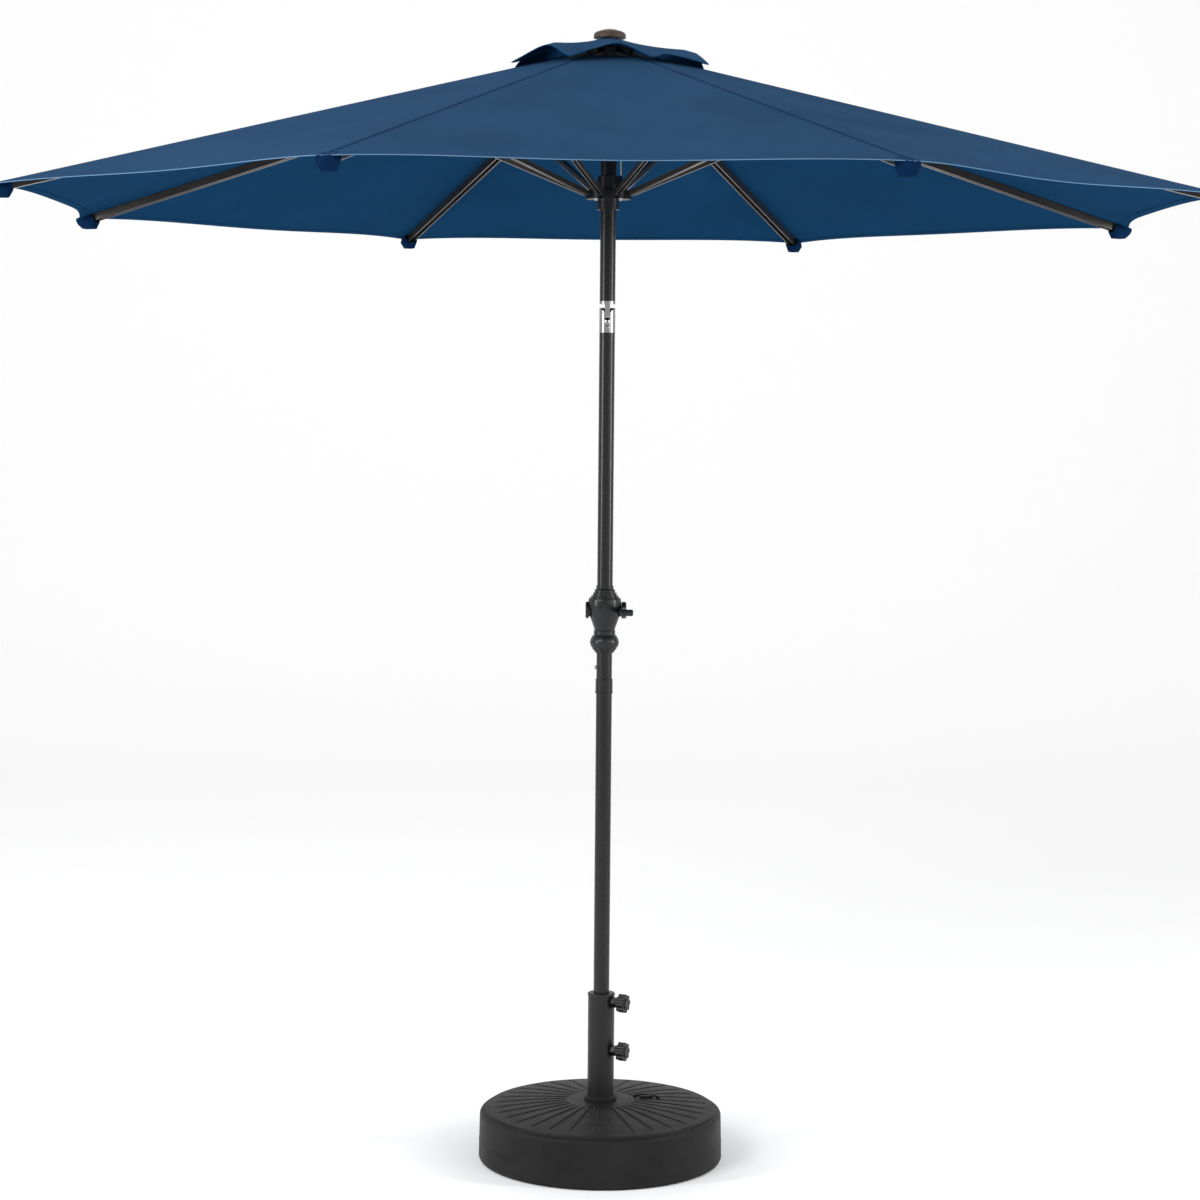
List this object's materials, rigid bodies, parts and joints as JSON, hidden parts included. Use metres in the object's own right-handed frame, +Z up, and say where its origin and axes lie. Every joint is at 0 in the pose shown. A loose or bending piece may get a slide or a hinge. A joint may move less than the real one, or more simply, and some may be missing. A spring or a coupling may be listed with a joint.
{
  "type": "patio umbrella with base",
  "caption": "Octagonal vented market umbrella on a two-section pole with crank lift and push-button tilt, standing in a round grooved plastic base with a clamped tube.",
  "frame": {"origin": "middle of the base's flat underside, on the pole's axis", "axes": "+Z up along the pole, front (the tilt button and the crank arm's rest direction) towards -Y, crank on +X"},
  "size_m": [2.4092, 2.4092, 2.411],
  "materials": {
    "canopy_cloth": "woven polyester, solution dyed, matte",
    "frame_coat": "charcoal powder coat with a metallic grain, satin",
    "pole_coat": "charcoal black powder coat, satin",
    "dark_plastic": "moulded charcoal plastic, satin",
    "black_plastic": "moulded black plastic, fine grain",
    "bright_metal": "polished steel, lightly brushed",
    "steel": "zinc plated steel",
    "rubber_seal": "black rubber",
    "cord": "braided off-white polyester cord"
  },
  "bodies": {
    "base": {"base_shell": "black_plastic", "base_tube": "pole_coat", "foot_ring": "black_plastic", "foot_bolt": "steel", "tube_cap": "black_plastic"},
    "plug": {"fill_plug": "black_plastic", "fill_plug_seal": "rubber_seal"},
    "upper_knob": {"upper_clamp_knob": "black_plastic"},
    "lower_knob": {"lower_clamp_knob": "black_plastic"},
    "pole": {"lower_pole": "pole_coat", "pole_ferrule": "dark_plastic", "pole_joiner": "steel", "snap_spring": "steel", "middle_pole": "pole_coat", "crank_housing_front": "dark_plastic", "crank_housing_back": "dark_plastic", "housing_screws": "steel", "crank_side_cap": "dark_plastic", "tilt_lower_joint": "bright_metal", "tilt_pin": "bright_metal", "tilt_spring": "steel"},
    "snap": {"snap_button": "bright_metal"},
    "crank": {"crank_shaft": "steel", "cord_spool": "dark_plastic", "crank_arm": "dark_plastic"},
    "handle": {"crank_knob": "dark_plastic"},
    "latch": {"tilt_button": "bright_metal"},
    "head": {"tilt_upper_joint": "bright_metal", "upper_pole": "pole_coat", "top_hub": "dark_plastic", "hub_pins": "steel", "finial": "dark_plastic", "vent_canopy": "canopy_cloth", "lift_cord": "cord"},
    "pulley": {"cord_pulley": "dark_plastic"},
    "runner": {"runner": "dark_plastic"},
    "rib_1": {"rib_1": "frame_coat", "canopy_gore_1": "canopy_cloth"},
    "strut_1": {"strut_1": "frame_coat"},
    "rib_2": {"rib_2": "frame_coat", "canopy_gore_2": "canopy_cloth"},
    "strut_2": {"strut_2": "frame_coat"},
    "rib_3": {"rib_3": "frame_coat", "canopy_gore_3": "canopy_cloth"},
    "strut_3": {"strut_3": "frame_coat"},
    "rib_4": {"rib_4": "frame_coat", "canopy_gore_4": "canopy_cloth"},
    "strut_4": {"strut_4": "frame_coat"},
    "rib_5": {"rib_5": "frame_coat", "canopy_gore_5": "canopy_cloth"},
    "strut_5": {"strut_5": "frame_coat"},
    "rib_6": {"rib_6": "frame_coat", "canopy_gore_6": "canopy_cloth"},
    "strut_6": {"strut_6": "frame_coat"},
    "rib_7": {"rib_7": "frame_coat", "canopy_gore_7": "canopy_cloth"},
    "strut_7": {"strut_7": "frame_coat"},
    "rib_8": {"rib_8": "frame_coat", "canopy_gore_8": "canopy_cloth"},
    "strut_8": {"strut_8": "frame_coat"}
  },
  "joints": [
    {"name": "plug_pull", "type": "slide", "parent": "base", "child": "plug", "axis": [0, 0, 1], "range_m": [0, 0.03]},
    {"name": "upper_knob_turn", "type": "hinge", "parent": "base", "child": "upper_knob", "pos_m": [0, 0, 0.342], "axis": [0.891, -0.454, 0], "range_deg": [0, 720]},
    {"name": "lower_knob_turn", "type": "hinge", "parent": "base", "child": "lower_knob", "pos_m": [0, 0, 0.237], "axis": [0.891, -0.454, 0], "range_deg": [0, 720]},
    {"name": "pole_swivel", "type": "hinge", "parent": "base", "child": "pole", "pos_m": [0, 0, 0.2], "axis": [0, 0, 1], "continuous": true},
    {"name": "snap_press", "type": "slide", "parent": "pole", "child": "snap", "axis": [1, 0, 0], "range_m": [0, 0.0045], "stiffness_N_per_m": 2500, "springref_m": -0.002, "deforming": ["snap_spring"]},
    {"name": "crank_turn", "type": "hinge", "parent": "pole", "child": "crank", "pos_m": [0, 0, 1.187], "axis": [1, 0, 0], "range_deg": [0, 3061.54]},
    {"name": "handle_spin", "type": "hinge", "parent": "crank", "child": "handle", "pos_m": [0.046, -0.074, 1.187], "axis": [1, 0, 0], "continuous": true},
    {"name": "tilt_release", "type": "slide", "parent": "pole", "child": "latch", "axis": [0, 1, 0], "range_m": [0, 0.0025], "stiffness_N_per_m": 2500, "springref_m": -0.002, "deforming": ["tilt_spring"]},
    {"name": "tilt", "type": "hinge", "parent": "pole", "child": "head", "pos_m": [0, 0, 1.812], "axis": [-1, 0, 0], "range_deg": [-30, 0], "deforming": ["lift_cord"]},
    {"name": "runner_slide", "type": "slide", "parent": "head", "child": "runner", "axis": [0, 0, -1], "range_m": [0, 0.61449], "deforming": ["lift_cord", "vent_canopy", "canopy_gore_1", "canopy_gore_2", "canopy_gore_3", "canopy_gore_4", "canopy_gore_5", "canopy_gore_6", "canopy_gore_7", "canopy_gore_8"]},
    {"name": "pulley_turn", "type": "hinge", "parent": "head", "child": "pulley", "pos_m": [0.013, 0, 2.352], "axis": [0, 1, 0], "range_deg": [-0.01, 3911.97]},
    {"name": "rib_fold_1", "type": "hinge", "parent": "head", "child": "rib_1", "pos_m": [0.03696, 0.01531, 2.356], "axis": [-0.3827, 0.9239, 0], "range_deg": [-0.01, 71.51]},
    {"name": "strut_fold_1", "type": "hinge", "parent": "rib_1", "child": "strut_1", "pos_m": [0.43294, 0.17933, 2.23999], "axis": [-0.3827, 0.9239, 0], "range_deg": [-136.08, 0.01]},
    {"name": "rib_fold_2", "type": "hinge", "parent": "head", "child": "rib_2", "pos_m": [0.01531, 0.03696, 2.356], "axis": [-0.9239, 0.3827, 0], "range_deg": [-0.01, 71.51]},
    {"name": "strut_fold_2", "type": "hinge", "parent": "rib_2", "child": "strut_2", "pos_m": [0.17933, 0.43294, 2.23999], "axis": [-0.9239, 0.3827, 0], "range_deg": [-136.08, 0.01]},
    {"name": "rib_fold_3", "type": "hinge", "parent": "head", "child": "rib_3", "pos_m": [-0.01531, 0.03696, 2.356], "axis": [-0.9239, -0.3827, 0], "range_deg": [-0.01, 71.51]},
    {"name": "strut_fold_3", "type": "hinge", "parent": "rib_3", "child": "strut_3", "pos_m": [-0.17933, 0.43294, 2.23999], "axis": [-0.9239, -0.3827, 0], "range_deg": [-136.08, 0.01]},
    {"name": "rib_fold_4", "type": "hinge", "parent": "head", "child": "rib_4", "pos_m": [-0.03696, 0.01531, 2.356], "axis": [-0.3827, -0.9239, 0], "range_deg": [-0.01, 71.51]},
    {"name": "strut_fold_4", "type": "hinge", "parent": "rib_4", "child": "strut_4", "pos_m": [-0.43294, 0.17933, 2.23999], "axis": [-0.3827, -0.9239, 0], "range_deg": [-136.08, 0.01]},
    {"name": "rib_fold_5", "type": "hinge", "parent": "head", "child": "rib_5", "pos_m": [-0.03696, -0.01531, 2.356], "axis": [0.3827, -0.9239, 0], "range_deg": [-0.01, 71.51]},
    {"name": "strut_fold_5", "type": "hinge", "parent": "rib_5", "child": "strut_5", "pos_m": [-0.43294, -0.17933, 2.23999], "axis": [0.3827, -0.9239, 0], "range_deg": [-136.08, 0.01]},
    {"name": "rib_fold_6", "type": "hinge", "parent": "head", "child": "rib_6", "pos_m": [-0.01531, -0.03696, 2.356], "axis": [0.9239, -0.3827, 0], "range_deg": [-0.01, 71.51]},
    {"name": "strut_fold_6", "type": "hinge", "parent": "rib_6", "child": "strut_6", "pos_m": [-0.17933, -0.43294, 2.23999], "axis": [0.9239, -0.3827, 0], "range_deg": [-136.08, 0.01]},
    {"name": "rib_fold_7", "type": "hinge", "parent": "head", "child": "rib_7", "pos_m": [0.01531, -0.03696, 2.356], "axis": [0.9239, 0.3827, 0], "range_deg": [-0.01, 71.51]},
    {"name": "strut_fold_7", "type": "hinge", "parent": "rib_7", "child": "strut_7", "pos_m": [0.17933, -0.43294, 2.23999], "axis": [0.9239, 0.3827, 0], "range_deg": [-136.08, 0.01]},
    {"name": "rib_fold_8", "type": "hinge", "parent": "head", "child": "rib_8", "pos_m": [0.03696, -0.01531, 2.356], "axis": [0.3827, 0.9239, 0], "range_deg": [-0.01, 71.51]},
    {"name": "strut_fold_8", "type": "hinge", "parent": "rib_8", "child": "strut_8", "pos_m": [0.43294, -0.17933, 2.23999], "axis": [0.3827, 0.9239, 0], "range_deg": [-136.08, 0.01]}
  ],
  "couplings": [
    {"joint": "crank_turn", "follows": "runner_slide", "rad_per_m": 86.957},
    {"joint": "pulley_turn", "follows": "runner_slide", "rad_per_m": 111.11},
    {"joint": "rib_fold_1", "follows": "runner_slide", "rad_per_m": 2.0308},
    {"joint": "strut_fold_1", "follows": "runner_slide", "rad_per_m": -3.8649},
    {"joint": "rib_fold_2", "follows": "runner_slide", "rad_per_m": 2.0308},
    {"joint": "strut_fold_2", "follows": "runner_slide", "rad_per_m": -3.8649},
    {"joint": "rib_fold_3", "follows": "runner_slide", "rad_per_m": 2.0308},
    {"joint": "strut_fold_3", "follows": "runner_slide", "rad_per_m": -3.8649},
    {"joint": "rib_fold_4", "follows": "runner_slide", "rad_per_m": 2.0308},
    {"joint": "strut_fold_4", "follows": "runner_slide", "rad_per_m": -3.8649},
    {"joint": "rib_fold_5", "follows": "runner_slide", "rad_per_m": 2.0308},
    {"joint": "strut_fold_5", "follows": "runner_slide", "rad_per_m": -3.8649},
    {"joint": "rib_fold_6", "follows": "runner_slide", "rad_per_m": 2.0308},
    {"joint": "strut_fold_6", "follows": "runner_slide", "rad_per_m": -3.8649},
    {"joint": "rib_fold_7", "follows": "runner_slide", "rad_per_m": 2.0308},
    {"joint": "strut_fold_7", "follows": "runner_slide", "rad_per_m": -3.8649},
    {"joint": "rib_fold_8", "follows": "runner_slide", "rad_per_m": 2.0308},
    {"joint": "strut_fold_8", "follows": "runner_slide", "rad_per_m": -3.8649}
  ]
}
